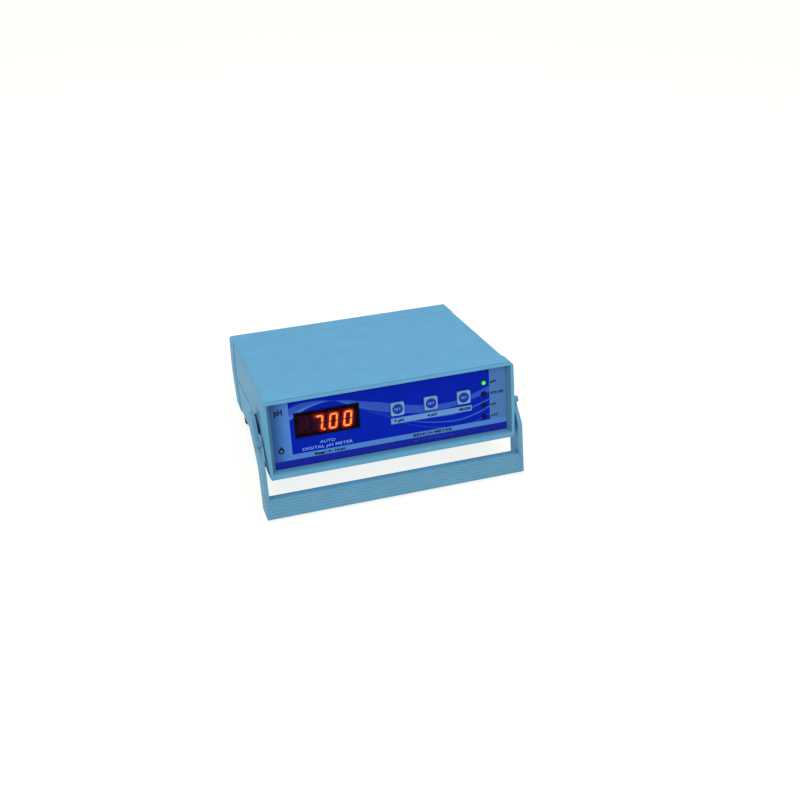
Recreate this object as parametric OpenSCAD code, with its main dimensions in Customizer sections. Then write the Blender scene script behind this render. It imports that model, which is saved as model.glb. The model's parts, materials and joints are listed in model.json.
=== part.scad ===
// Bench pH meter: two plastic half shells with captive front and rear panels,
// standing nose-up on its rear feet and on a swinging U-shaped handle.
// Everything is drawn in the case's own frame (X right, Y to the rear, Z up, origin at the
// bottom of the front edge), then tilted as one so that it stands on the floor at Z = 0.

/* [Case] */
// Flat width of the front bezel
case_w = 220; // [215:1:230]
// Depth from the front bezel to the rear edge
case_d = 181; // [176:1:200]
// Height of the two closed shells
case_h = 72.4; // [70:0.1:76]
// Height of the parting line between the shells
split_z = 39.6; // [38:0.1:42]
// Wall thickness of the shells
wall = 2.6; // [2.2:0.1:3]
// Depth of the wider collar round the front
collar_d = 19; // [16:0.5:20]
// Depth of the slightly wider band round the rear
rear_band_d = 23; // [20:1:34]
// Depth of the bezel lip in front of the front panel
lip_d = 5; // [4:0.5:6]

/* [Handle] */
// Distance from the front edge to the handle's pivot
pivot_y = 35.8; // [34:0.1:38]
// Radius of the round hub at the top of each arm
hub_r = 11.6; // [10.5:0.1:13]
// Width of each arm below its bend
arm_w = 21.2; // [18:0.1:23]
// Distance from the pivot down to the underside of the grip
handle_drop = 75.4; // [70:0.1:82]
// Height of the ribbed grip
grip_h = 17.6; // [15:0.1:20]
// Front to back size of the ribbed grip
grip_d = 10.4; // [9:0.1:12]
// Angle by which the arms lean forward
lean = 2.75; // [0:0.25:5]

/* [Front panel] */
// Width of the display window
window_w = 56.9; // [56:0.1:60]
// Height of the display window
window_h = 23.4; // [21:0.1:25]
// Side of the square keys
key_side = 12; // [10:0.5:14]
// Distance between neighbouring keys
key_pitch = 30.2; // [24:0.1:32]
// Travel of a key
key_travel = 1.2; // [0.5:0.1:1.5]
// Diameter of an indicator lamp
led_dia = 5; // [3:0.5:6]
// Distance between neighbouring indicator lamps
led_pitch = 10.8; // [9:0.1:12]

/* [Rear panel] */
// Outer diameter of the electrode connector's barrel
bnc_dia = 9.6; // [9:0.1:10]
// Bore of the temperature probe socket
jack_dia = 3.6; // [3.5:0.05:3.8]
// Angle of the power switch's rocker either side of the middle
rocker_angle = 11; // [6:1:12]

/* [Feet] */
// Diameter of a rubber foot
foot_dia = 18; // [14:1:20]
// Height of a rubber foot
foot_h = 6.5; // [4:0.5:8]
// Distance from the front edge to the rear feet
rear_foot_y = 146.5; // [140:0.5:150]

/* [Hidden] */
$fn = 64;

// Colours of the mouldings and the metal
shell_blue = [0.42, 0.64, 0.76];
handle_blue = [0.36, 0.57, 0.70];
panel_blue = [0.02, 0.10, 0.60];
board_green = [0.05, 0.35, 0.20];
steel = [0.72, 0.73, 0.75];
black = [0.06, 0.06, 0.07];

// Widths of the shells; the walls lean in slightly away from the parting line
edge_r = 3.2;                          // rounding of the bezel's outer vertical edges
draft = 1.3;                           // how far each side wall leans in
collar_half = case_w / 2 + 2.2;
body_half = case_w / 2 + 0.8;
band_half = body_half + 0.7;           // rear band
band_y = case_d - rear_band_d;
groove = 0.25;                          // line across the lid where the rear band starts
floor_r = 4;                           // rounding of the case's lower long edges
lid_r = 4.5;                           // rounding of its upper long edges
bead_out = 0.7;                        // how far the side bead stands out of the wall
bead_h = 2.6;

// Front opening, which narrows from the bezel's face to the panel
front_open_half = 108.4;
panel_open_half = 105.3;
front_open_z = [5, case_h - 2.7];
panel_open_z = [7.9, case_h - 4.7];

// Panels and the slots that hold them
panel_t = 2;
slot_gap = 0.1;
rib_t = 2;
rib_h = 2.6;
panel_half = body_half - wall - 1;
panel_z = [wall + 0.4, case_h - wall - 0.4];
overlay_t = 0.4;
rear_lip = 3;
rear_open_half = 104;
rear_open_z = [6, case_h - 6];
rear_face_y = case_d - rear_lip;       // outer face of the rear panel

// Screw bosses that join the shells
boss_x = 88;
boss_y = [36, 155];
boss_r = 4.2;
screw_r = 1.5;
screw_head_r = 3;
screw_seat_z = 4;

// Handle pivots
pivot_z = split_z;
pin_r = 4.95;
pin_clear = 0.05;
pivot_boss_r = 9.5;
pivot_boss_x = 111.8;
pivot_pad_in = body_half - wall - 1;   // inner face of the pad, inside the wall
pin_flange_t = 2;
washer_r = 9;
arm_in = 114.2;                        // inner face of the arm
arm_split = 115.4;                     // where the grip's end meets the arm's outer plate
arm_out = 117.9;                       // outer face of the arm
cap_gap = 0.3;
cap_r = 7;
cap_t = 1.6;
lug_r = 2.9;                           // detent lug at the arm's front edge
lug_pos = [-22.9, -9.4];
lug_x = [112.8, 119];

// Side outline of an arm, measured from the pivot
arm_front = -35.3;
arm_rear = arm_front + arm_w;
knee_front = [arm_front, -29.1];
knee_rear = [arm_rear, -33.8];
heel_rise = 2;                         // the underside rises this much towards the rear
spigot_l = 8;
grip_wall = 2.2;
grip_gap = 0.05;
rib_count = 5;
rib_depth = 0.6;

// Front panel layout
window_pos = [-57.15, 45.5];
frame_t = 1.3;
digit_pitch = 12.7;
digit_size = [12.6, 8, 19];
digit_first = -76.6;
digit_z = 43.2;
digit_face_y = 7.6;
key_first = 4.8;
key_z = 45.6;
key_gap = 0.3;
key_front_y = 3;
key_depth = 5.4;
key_flange = 1.2;                      // rim behind the panel that keeps the key in
stem_r = 1.7;
stem_l = 3.2;
stem_gap = 0.4;
key_switch_d = 5.6;
led_x = 84.1;
led_top_z = 55.8;
led_gap = 0.1;
board_t = 1.6;
front_board_y = 15.6;
front_board_half = 96;
front_board_z = [10, 64];
front_stud = [91, 4];                  // half spacing across, and inset from the board's edge
stud_r = 2.5;
stud_screw_r = 1.2;

// Main board and what stands on it
board_pos = [-38, 42];
board_size = [116, 98];
board_z = 9;
board_inset = 5;
board_top = board_z + board_t;

// Transformer, with its middle on the floor of the case
transformer_pos = [-72, 118];
core_size = [48, 20, 40];
core_leg = 8;
coil_d = 38;

// Rear panel layout
rear_z = 42;
bnc_x = 72;
jack_x = 42;
fuse_x = -4;
switch_x = -34;
inlet_x = -68;
bnc_l = 14.5;
bnc_flange_t = 1.8;
bnc_thread_r = 4.7;
bnc_bore_r = 3.7;
bnc_bore_l = 5.5;                      // free depth in front of the centre contact
inlet_body = [27, 20];
inlet_cavity = [24, 16.4];
inlet_depth = 22;
inlet_flange = [31, 24];
inlet_flange_t = 2.4;
switch_out = [15, 21];
switch_body = [13, 19.4];
switch_well = [9.8, 17.6];
switch_depth = 14;
rocker_half = 7.6;
rocker_w = 9.2;
rocker_out = 5;
trunnion_r = 1.2;

// How the whole meter stands: on the arms' rear lower corners and the rear feet's rear edge
foot_chamfer = 0.6;
foot_x = 100;
front_foot_y = 46;
function from_handle(y, z) =
    [pivot_y + y * cos(lean) + z * sin(lean), pivot_z - y * sin(lean) + z * cos(lean)];
toe = from_handle(arm_rear, heel_rise - handle_drop);
tip = from_handle(arm_front, -handle_drop);
heel = [rear_foot_y + foot_dia / 2 - foot_chamfer, -foot_h];
tilt = atan2(heel[1] - toe[1], heel[0] - toe[0]);
lift = heel[0] * sin(tilt) - heel[1] * cos(tilt);
front_reach = tip[0] * cos(tilt) + tip[1] * sin(tilt);
rear_reach = (rear_face_y + bnc_l) * cos(tilt) + (rear_z + bnc_dia / 2) * sin(tilt);
centring = -(front_reach + rear_reach) / 2;

// ---- Helpers ----

// Places the case's frame on the floor
module in_case() translate([0, centring, lift]) rotate([-tilt, 0, 0]) children();

// Places the handle's frame, with its origin on the pivot axis
module in_handle() in_case() translate([0, pivot_y, pivot_z]) rotate([-lean, 0, 0]) children();

// Extrudes an outline drawn in X and Z along Y
module along_y(from, to) translate([0, to, 0]) rotate([90, 0, 0]) linear_extrude(to - from) children();

// Extrudes an outline drawn in Y and Z along X
module along_x(from, to) translate([from, 0, 0]) rotate([90, 0, 90]) linear_extrude(to - from) children();

// A block between two corners
module block(low, high) translate(low) cube(high - low);

// A cylinder along Y or X at a point of the other two axes
module rod_y(x, z, r, from, to) translate([x, from, z]) rotate([-90, 0, 0]) cylinder(r = r, h = to - from);
module rod_x(y, z, r, from, to) translate([from, y, z]) rotate([0, 90, 0]) cylinder(r = r, h = to - from);

// A wire through a list of points, with round bends and flat ends
module wire(points, r) {
    for (i = [0 : len(points) - 2]) {
        run = points[i + 1] - points[i];
        reach = norm(run);
        translate(points[i])
            rotate([0, acos(run[2] / reach), atan2(run[1], run[0])])
            cylinder(r = r, h = reach, $fn = 24);
        if (i > 0) translate(points[i]) sphere(r = r + 0.1, $fn = 24);
    }
}

// Mirrors a part drawn on the right-hand side to the left for side = -1
module on_side(side) if (side > 0) children(); else mirror([1, 0, 0]) children();

function unit(v) = v / norm(v);

// Replaces each corner of an outline by a short curve that starts size away from it
function soften(points, size, steps = 6) = [
    for (i = [0 : len(points) - 1])
        let (p = points[i],
             back = unit(points[(i + len(points) - 1) % len(points)] - p),
             ahead = unit(points[(i + 1) % len(points)] - p),
             t = is_list(size) ? size[i] : size)
        for (s = [0 : (t > 0 ? steps : 0)])
            let (k = s / steps) p + back * t * pow(1 - k, 2) + ahead * t * pow(k, 2)];

// Outline of a shell section: straight floor and top, sides that lean in from the parting line
function section(half, inset, low_r = 0, high_r = 0) = soften(
    [[-half + draft + inset, inset], [half - draft - inset, inset], [half - inset, split_z],
     [half - draft - inset, case_h - inset], [-half + draft + inset, case_h - inset],
     [-half + inset, split_z]],
    [low_r, low_r, 0, high_r, high_r, 0]);

function box_outline(half, z) = [[-half, z[0]], [half, z[0]], [half, z[1]], [-half, z[1]]];

function key_x(i) = key_first + i * key_pitch;
function led_z(i) = led_top_z - i * led_pitch;

// ---- Shells ----

// Rounds the shells' outer edges seen from above and from the side
module case_envelope() {
    step_y = collar_d + 0.01;
    intersection() {
        linear_extrude(case_h) polygon(soften(
            [[-collar_half, 0], [collar_half, 0], [collar_half, step_y], [band_half, step_y],
             [band_half, case_d], [-band_half, case_d], [-band_half, step_y], [-collar_half, step_y]],
            [edge_r, edge_r, 0, 0, edge_r, edge_r, 0, 0]));
        along_x(-collar_half, collar_half) polygon(soften(
            [[0, 0], [case_d, 0], [case_d, case_h], [0, case_h]],
            [edge_r, edge_r, edge_r, edge_r / 2]));
    }
}

// Both shells as one closed sleeve, open at the front and the rear
module sleeve() {
    front_rib = lip_d + panel_t + slot_gap;
    rear_rib = rear_face_y - panel_t - slot_gap;
    difference() {
        intersection() {
            case_envelope();
            union() {
                along_y(0, case_d) polygon(section(body_half, 0, floor_r, lid_r));
                along_y(0, collar_d) polygon(section(collar_half, 0, floor_r, lid_r));
                along_y(band_y, case_d) polygon(section(band_half, 0, floor_r, lid_r));
            }
        }
        block([-band_half, band_y - 2 * groove, case_h - groove], [band_half, band_y, case_h + 1]);
        // Tapered front opening
        intersection() {
            along_x(-collar_half, collar_half) polygon(
                [[0, front_open_z[0]], [lip_d, panel_open_z[0]],
                 [lip_d, panel_open_z[1]], [0, front_open_z[1]]]);
            linear_extrude(case_h) polygon(
                [[-front_open_half, 0], [front_open_half, 0],
                 [panel_open_half, lip_d], [-panel_open_half, lip_d]]);
        }
        along_y(lip_d, front_rib) polygon(section(body_half, wall));
        along_y(front_rib, front_rib + rib_t) polygon(section(body_half, wall + rib_h));
        along_y(front_rib + rib_t, rear_rib - rib_t) polygon(section(body_half, wall));
        along_y(rear_rib - rib_t, rear_rib) polygon(section(body_half, wall + rib_h));
        along_y(rear_rib, rear_face_y) polygon(section(body_half, wall));
        along_y(rear_face_y, case_d) polygon(box_outline(rear_open_half, rear_open_z));
    }
}

// Round pad on each side wall that carries the handle's pivot
module pivot_pads() {
    for (side = [-1, 1]) on_side(side)
        rod_x(pivot_y, pivot_z, pivot_boss_r, pivot_pad_in, pivot_boss_x);
}

module pivot_holes() {
    for (side = [-1, 1]) on_side(side)
        rod_x(pivot_y, pivot_z, pin_r, pivot_pad_in - 1, pivot_boss_x + 1);
}

module case_half(from, to) {
    intersection() {
        union() {
            sleeve();
            pivot_pads();
        }
        block([-case_w, -1, from], [case_w, case_d + 1, to]);
    }
}

module top_shell() color(shell_blue) in_case() {
    difference() {
        union() {
            case_half(split_z, case_h + 1);
            for (x = [-boss_x, boss_x], y = boss_y)
                translate([x, y, split_z]) cylinder(r = boss_r, h = case_h - wall - split_z);
        }
        pivot_holes();
        for (x = [-boss_x, boss_x], y = boss_y)
            translate([x, y, split_z - 1]) cylinder(r = screw_r, h = 16);
    }
}

// Rows of narrow ventilation slots in the floor
module floor_vents() {
    for (x = [-46, 46], i = [0 : 6])
        block([x - 18, 66 + 7 * i, -1], [x + 18, 68.4 + 7 * i, wall + 1]);
}

module bottom_shell() color(shell_blue) in_case() {
    bead = soften([[0, 0], [bead_out, 0.8], [bead_out, bead_h], [-1, bead_h], [-1, 0]],
                  [0, 0.7, 0.5, 0, 0], 4);
    difference() {
        union() {
            case_half(-1, split_z);
            for (side = [-1, 1]) on_side(side)
                translate([body_half - 0.1, 0, split_z - bead_h])
                along_y(collar_d - 0.5, band_y + 0.5) polygon(bead);
            for (x = [-boss_x, boss_x], y = boss_y)
                translate([x, y, 0]) cylinder(r = boss_r, h = split_z);
        }
        pivot_holes();
        floor_vents();
        for (x = [-boss_x, boss_x], y = boss_y) {
            translate([x, y, -1]) cylinder(r = screw_r + 0.2, h = split_z + 2);
            translate([x, y, -1]) cylinder(r = screw_head_r + 0.2, h = screw_seat_z + 1);
        }
    }
}

// Four long screws, driven from below
module case_screws() color(steel) in_case() {
    for (x = [-boss_x, boss_x], y = boss_y) translate([x, y, 0]) {
        translate([0, 0, screw_seat_z]) cylinder(r = screw_r, h = split_z + 12 - screw_seat_z);
        difference() {
            translate([0, 0, screw_seat_z - 2.2]) cylinder(r = screw_head_r, h = 2.2);
            translate([-2, -0.4, 0]) cube([4, 0.8, 2.6]);
            translate([-0.4, -2, 0]) cube([0.8, 4, 2.6]);
        }
    }
}

module foot(x, y) {
    r = foot_dia / 2;
    translate([x, y, -foot_h]) rotate_extrude() polygon(
        [[2, 1], [2.8, 0], [r - foot_chamfer, 0], [r, foot_chamfer], [r, foot_h], [0, foot_h], [0, 1]]);
}

module front_feet() color(black) in_case() for (x = [-foot_x, foot_x]) foot(x, front_foot_y);

module rear_feet() color(black) in_case() for (x = [-foot_x, foot_x]) foot(x, rear_foot_y);

// ---- Front panel ----

// Everything that passes through the panel and its overlay, grown by a gap
module front_cutouts(from, to) {
    block([window_pos[0] - window_w / 2, from, window_pos[1] - window_h / 2],
          [window_pos[0] + window_w / 2, to, window_pos[1] + window_h / 2]);
    for (i = [0 : 2])
        block([key_x(i) - key_side / 2 - key_gap, from, key_z - key_side / 2 - key_gap],
              [key_x(i) + key_side / 2 + key_gap, to, key_z + key_side / 2 + key_gap]);
    for (i = [0 : 3]) rod_y(led_x, led_z(i), led_dia / 2 + led_gap, from, to);
}

module front_panel() color(steel) in_case() difference() {
    along_y(lip_d, lip_d + panel_t) polygon(box_outline(panel_half, panel_z));
    front_cutouts(lip_d - 1, lip_d + panel_t + 1);
}

module panel_overlay() color(panel_blue) in_case() difference() {
    along_y(lip_d - overlay_t, lip_d)
        polygon(box_outline(panel_open_half - 0.1, [panel_open_z[0] + 0.1, panel_open_z[1] - 0.1]));
    front_cutouts(lip_d - 1, lip_d + 1);
}

module window_block(inset, from, to)
    block([window_pos[0] - window_w / 2 + inset, from, window_pos[1] - window_h / 2 + inset],
          [window_pos[0] + window_w / 2 - inset, to, window_pos[1] + window_h / 2 - inset]);

module display_frame() color(black) in_case() difference() {
    window_block(0, lip_d - overlay_t - 0.3, digit_face_y);
    window_block(frame_t, 0, digit_face_y + 1);
}

module display_filter() color([0.25, 0.02, 0.05]) in_case()
    window_block(frame_t, lip_d - 0.2, lip_d + 1.8);

// One seven-segment digit in its potted case
module digit(i) color([0.10, 0.03, 0.04]) in_case() {
    x = digit_first + i * digit_pitch;
    block([x - digit_size[0] / 2, digit_face_y, digit_z - digit_size[2] / 2],
          [x + digit_size[0] / 2, digit_face_y + digit_size[1], digit_z + digit_size[2] / 2]);
}
module digit_1() digit(0);
module digit_2() digit(1);
module digit_3() digit(2);
module digit_4() digit(3);

// Square key with a round stem behind it
module key_cap(i) color([0.70, 0.78, 0.88]) in_case() {
    outline = soften([[-1, -1], [1, -1], [1, 1], [-1, 1]] * key_side / 2, 1.6, 5);
    back_y = key_front_y + key_depth;
    translate([key_x(i), 0, key_z]) {
        along_y(key_front_y, back_y) polygon(outline);
        along_y(lip_d + panel_t + key_gap, back_y)
            square(key_side + 2 * key_flange, center = true);
        rod_y(0, 0, stem_r, back_y, back_y + stem_l);
    }
}
module key_cap_seven() key_cap(0);
module key_cap_four() key_cap(1);
module key_cap_mode() key_cap(2);

// Tactile switch that a key presses, with a well for the key's stem
module key_switch(i) color(black) in_case() {
    top_y = front_board_y - key_switch_d;
    half = key_side / 2;
    translate([key_x(i), 0, key_z]) difference() {
        block([-half, top_y, -half], [half, front_board_y, half]);
        rod_y(0, 0, stem_r + stem_gap, top_y - 1, front_board_y - 1.2);
    }
}
module key_switch_seven() key_switch(0);
module key_switch_four() key_switch(1);
module key_switch_mode() key_switch(2);

// Round lamp with a flange behind the panel and two legs to the board
module led(i) in_case() translate([led_x, 0, led_z(i)]) {
    r = led_dia / 2;
    dome_y = lip_d - overlay_t + 0.6;
    translate([0, dome_y, 0]) rotate([90, 0, 0])
        rotate_extrude() intersection() {
            circle(r = r);
            translate([0, 0]) square([r, r]);
        }
    rod_y(0, 0, r, dome_y, lip_d + panel_t + 1.2);
    rod_y(0, 0, r + 0.5, lip_d + panel_t + 0.1, lip_d + panel_t + 1.2);
    for (leg = [-1.27, 1.27])
        block([leg - 0.3, lip_d + panel_t + 1.2, -0.3], [leg + 0.3, front_board_y, 0.3]);
}
module led_ph() color("limegreen") led(0);
module led_standby() color("darkslategray") led(1);
module led_mv() color("darkslategray") led(2);
module led_atc() color("darkslategray") led(3);

// The four places where studs on the panel carry the front board
module at_front_studs()
    for (x = [-front_stud[0], front_stud[0]],
         z = [front_board_z[0] + front_stud[1], front_board_z[1] - front_stud[1]])
        translate([x, 0, z]) children();

module front_board() color(board_green) in_case() difference() {
    along_y(front_board_y, front_board_y + board_t) polygon(box_outline(front_board_half, front_board_z));
    at_front_studs() rod_y(0, 0, stud_screw_r, front_board_y - 1, front_board_y + board_t + 1);
}

module front_standoffs() color(steel) in_case() at_front_studs() difference() {
    rod_y(0, 0, stud_r, lip_d + panel_t, front_board_y);
    rod_y(0, 0, stud_screw_r, front_board_y - 5, front_board_y + 1);
}

module front_board_screws() color(steel) in_case() at_front_studs() {
    rod_y(0, 0, stud_screw_r, front_board_y - 5, front_board_y + board_t);
    rod_y(0, 0, 2 * stud_screw_r, front_board_y + board_t, front_board_y + board_t + 1.6);
}

// ---- Inside ----

module at_board_corners()
    for (x = [board_inset, board_size[0] - board_inset], y = [board_inset, board_size[1] - board_inset])
        translate([board_pos[0] + x, board_pos[1] + y, 0]) children();

module main_board() color(board_green) in_case() difference() {
    translate([board_pos[0], board_pos[1], board_z]) cube([board_size[0], board_size[1], board_t]);
    at_board_corners() translate([0, 0, board_z - 1]) cylinder(r = screw_r, h = board_t + 2);
}

module board_standoffs() color(steel) in_case() at_board_corners() difference() {
    translate([0, 0, wall]) cylinder(r = 3, h = board_z - wall);
    translate([0, 0, wall + 1]) cylinder(r = screw_r, h = board_z);
}

module board_screws() color(steel) in_case() at_board_corners() {
    translate([0, 0, wall + 1]) cylinder(r = screw_r, h = board_top - wall - 1);
    translate([0, 0, board_top]) cylinder(r = screw_head_r, h = 2);
}

// Laminated core with two windows beside the middle leg
module transformer_core() color([0.35, 0.34, 0.33]) in_case() {
    top = wall + core_size[2];
    translate([transformer_pos[0], transformer_pos[1], 0]) difference() {
        block([-core_size[0] / 2, -core_size[1] / 2, wall], [core_size[0] / 2, core_size[1] / 2, top]);
        for (side = [-1, 1]) translate([side * 1.5 * core_leg, 0, 0])
            block([-core_leg / 2, -core_size[1], wall + core_leg], [core_leg / 2, core_size[1], top - core_leg]);
        for (side = [-1, 1]) translate([side * 2.5 * core_leg, 0, 0]) cylinder(r = screw_r, h = 2 * top);
    }
}

module transformer_coil() color([0.80, 0.66, 0.25]) in_case()
    translate([transformer_pos[0], transformer_pos[1], 0]) difference() {
        block([-2 * core_leg, -coil_d / 2, wall + core_leg],
              [2 * core_leg, coil_d / 2, wall + core_size[2] - core_leg]);
        block([-core_leg, -core_size[1] / 2, 0], [core_leg, core_size[1] / 2, case_h]);
    }

module transformer_bolts() color(steel) in_case()
    for (side = [-1, 1])
        translate([transformer_pos[0] + side * 2.5 * core_leg, transformer_pos[1], 0]) {
            translate([0, 0, wall]) cylinder(r = screw_r, h = core_size[2]);
            translate([0, 0, wall + core_size[2]]) cylinder(r = screw_head_r, h = 2, $fn = 6);
        }

// Finned heat sink behind the regulator
sink_pos = [-22, 120];
module heatsink() color([0.55, 0.56, 0.58]) in_case() translate([sink_pos[0], sink_pos[1], board_top]) {
    cube([26, 3, 26]);
    for (i = [0 : 5]) translate([i * 4.9, 2.9, 0]) cube([1.5, 9, 26]);
}

module regulator() color(black) in_case() translate([sink_pos[0] + 8, sink_pos[1], board_top]) {
    translate([0, -4.5, 8]) cube([10, 4.5, 10]);
    for (leg = [1.8, 4.6, 7.4]) translate([leg, -2.5, 0]) cube([0.8, 0.6, 8.5]);
}

module filter_capacitors() color([0.10, 0.14, 0.30]) in_case()
    for (spot = [[-20, 100, 8, 25], [2, 100, 8, 25], [20, 96, 4, 12], [32, 96, 4, 12]])
        translate([spot[0], spot[1], board_top]) {
            cylinder(r = spot[2], h = spot[3]);
            translate([0, 0, spot[3]]) cylinder(r = spot[2] - 1, h = 0.4);
        }

// Dual in-line microcontroller with two rows of legs
module controller_chip() color(black) in_case() translate([4, 64, board_top]) {
    translate([0, 0, 1]) cube([51, 13.5, 3.6]);
    for (i = [0 : 19], y = [-0.6, 13.5]) translate([1.2 + 2.54 * i, y, 0]) cube([0.6, 0.6, 3]);
}

// Screening can over the high-impedance input amplifier
module shield_can() color(steel) in_case() translate([48, 98, board_top]) difference() {
    cube([28, 34, 13]);
    translate([0.8, 0.8, -1]) cube([26.4, 32.4, 13.2]);
}

// Flat cable from the main board up to the front board
module ribbon_cable() color("lightgray") in_case() {
    start_y = front_board_y + board_t;
    along_x(-12, 14) polygon(soften(
        [[start_y, 24], [start_y + 8, 24], [start_y + 20, 14], [board_pos[1] + 7, 14],
         [board_pos[1] + 7, board_top], [board_pos[1] + 8, board_top], [board_pos[1] + 8, 15],
         [start_y + 20.4, 15], [start_y + 8.4, 25], [start_y, 25]],
        [0, 3, 3, 0, 0, 0, 0, 3, 3, 0], 4));
}

// Live and neutral wires from the inlet through the fuse and the switch to the transformer
module mains_wires() color("saddlebrown") in_case() {
    back = rear_face_y - inlet_depth - 5;
    coil_y = transformer_pos[1] + coil_d / 2;
    wire([[inlet_x - 7, back, rear_z - 2], [inlet_x - 7, back - 5, rear_z - 2],
          [transformer_pos[0] - 8, coil_y + 6, 30], [transformer_pos[0] - 8, coil_y, 30]], 1.1);
    wire([[switch_x, rear_face_y - panel_t - switch_depth, rear_z - 5], [switch_x, 150, rear_z - 5],
          [transformer_pos[0] + 10, coil_y + 6, 26], [transformer_pos[0] + 10, coil_y, 26]], 1.1);
}

// Screened lead from the electrode connector to the input amplifier
module electrode_lead() color([0.15, 0.15, 0.16]) in_case()
    wire([[bnc_x, rear_face_y - 17, rear_z], [bnc_x, 154, rear_z],
          [bnc_x - 6, 138, board_top + 7], [bnc_x - 6, 132, board_top + 7]], 1.4);

// ---- Rear panel ----

module rear_panel() color(black) in_case() difference() {
    along_y(rear_face_y - panel_t, rear_face_y) polygon(box_outline(panel_half, panel_z));
    rod_y(bnc_x, rear_z, bnc_thread_r, 0, case_d);
    rod_y(jack_x, rear_z, 3, 0, case_d);
    rod_y(fuse_x, rear_z, 6, 0, case_d);
    translate([switch_x, 0, rear_z])
        block([-switch_body[0] / 2, 0, -switch_body[1] / 2], [switch_body[0] / 2, case_d, switch_body[1] / 2]);
    translate([inlet_x, 0, rear_z])
        block([-inlet_body[0] / 2, 0, -inlet_body[1] / 2], [inlet_body[0] / 2, case_d, inlet_body[1] / 2]);
}

// Bayonet connector for the electrode: flange, threaded rear, barrel with two lugs
module bnc_connector() color(steel) in_case() translate([bnc_x, rear_face_y, rear_z]) {
    lug_y = bnc_l - 4.5;
    difference() {
        union() {
            rod_y(0, 0, 7.4, 0, bnc_flange_t);
            rod_y(0, 0, bnc_dia / 2, bnc_flange_t, bnc_l);
            rod_y(0, 0, bnc_thread_r, -11, 0);
            rod_y(0, 0, 2, -17, -11);
            rod_x(lug_y, 0, 1, -bnc_dia / 2 - 0.8, bnc_dia / 2 + 0.8);
        }
        rod_y(0, 0, bnc_bore_r - 0.3, 5, bnc_l);
        rod_y(0, 0, bnc_bore_r, bnc_l - bnc_bore_l, bnc_l + 1);
    }
    rod_y(0, 0, 1, 4.9, bnc_l - bnc_bore_l - 0.2);
}

module bnc_nut() color(steel) in_case() translate([bnc_x, rear_face_y - panel_t, rear_z]) difference() {
    translate([0, -2.4, 0]) rotate([-90, 0, 0]) cylinder(r = 7.6, h = 2.4, $fn = 6);
    rod_y(0, 0, bnc_thread_r, -3, 1);
}

// Jack socket for the temperature probe
module temperature_socket() color(black) in_case() translate([jack_x, rear_face_y, rear_z]) difference() {
    union() {
        rod_y(0, 0, 3, -panel_t, 3.6);
        block([-5, -panel_t - 12, -4.5], [5, -panel_t, 4.5]);
    }
    rod_y(0, 0, jack_dia / 2, -panel_t - 10, 5);
}

module socket_nut() color(steel) in_case() translate([jack_x, rear_face_y, rear_z]) difference() {
    rod_y(0, 0, 4.6, 0, 2.2);
    rod_y(0, 0, 3, -1, 3);
    for (a = [0 : 45 : 315]) rotate([0, a, 0]) block([4.3, -1, -0.4], [5, 3, 0.4]);
}

// Three-pin appliance inlet
module mains_inlet() color(black) in_case() translate([inlet_x, rear_face_y, rear_z]) {
    cavity = soften([[-1, -1], [1, -1], [1, 0.3], [0.6, 1], [-0.6, 1], [-1, 0.3]], 0);
    floor_y = -inlet_depth + 5;
    difference() {
        union() {
            along_y(0, inlet_flange_t)
                polygon(soften([[-1, -1], [1, -1], [1, 1], [-1, 1]], 0.12)
                        * [[inlet_flange[0] / 2, 0], [0, inlet_flange[1] / 2]]);
            block([-inlet_body[0] / 2, -inlet_depth, -inlet_body[1] / 2],
                  [inlet_body[0] / 2, 0, inlet_body[1] / 2]);
        }
        along_y(floor_y, inlet_flange_t + 1)
            polygon(cavity * [[inlet_cavity[0] / 2, 0], [0, inlet_cavity[1] / 2]]);
    }
    for (pin = [[-7, -2], [7, -2], [0, 2.6]]) {
        block([pin[0] - 1, floor_y - 0.1, pin[1] - 2], [pin[0] + 1, floor_y + 11, pin[1] + 2]);
        block([pin[0] - 1, -inlet_depth - 5, pin[1] - 2], [pin[0] + 1, -inlet_depth, pin[1] + 2]);
    }
}

module fuse_holder() color(black) in_case() translate([fuse_x, rear_face_y, rear_z]) difference() {
    union() {
        rod_y(0, 0, 7.5, 0, 1.6);
        rod_y(0, 0, 6, -24, 0);
    }
    rod_y(0, 0, 4.4, -20, 2);
}

// Screwdriver-slotted cap of the fuse holder
module fuse_cap() color(black) in_case() translate([fuse_x, rear_face_y, rear_z]) difference() {
    union() {
        rod_y(0, 0, 6.3, 1.6, 6);
        rod_y(0, 0, 4.3, -12, 1.6);
    }
    block([-0.7, 4.8, -5], [0.7, 7, 5]);
}

// Pivot of the rocker, in the case's frame
rocker_pivot = [switch_x, rear_face_y - 1.6, rear_z];

module switch_housing() color(black) in_case() difference() {
    translate([switch_x, rear_face_y, rear_z]) difference() {
        union() {
            block([-switch_out[0] / 2, 0, -switch_out[1] / 2], [switch_out[0] / 2, 1.6, switch_out[1] / 2]);
            block([-switch_body[0] / 2, -panel_t - switch_depth, -switch_body[1] / 2],
                  [switch_body[0] / 2, 0, switch_body[1] / 2]);
        }
        block([-switch_well[0] / 2, -10, -switch_well[1] / 2], [switch_well[0] / 2, 3, switch_well[1] / 2]);
    }
    rod_x(rocker_pivot[1], rocker_pivot[2], trunnion_r + pin_clear,
          switch_x - switch_body[0] / 2 + 0.4, switch_x + switch_body[0] / 2 - 0.4);
}

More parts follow.
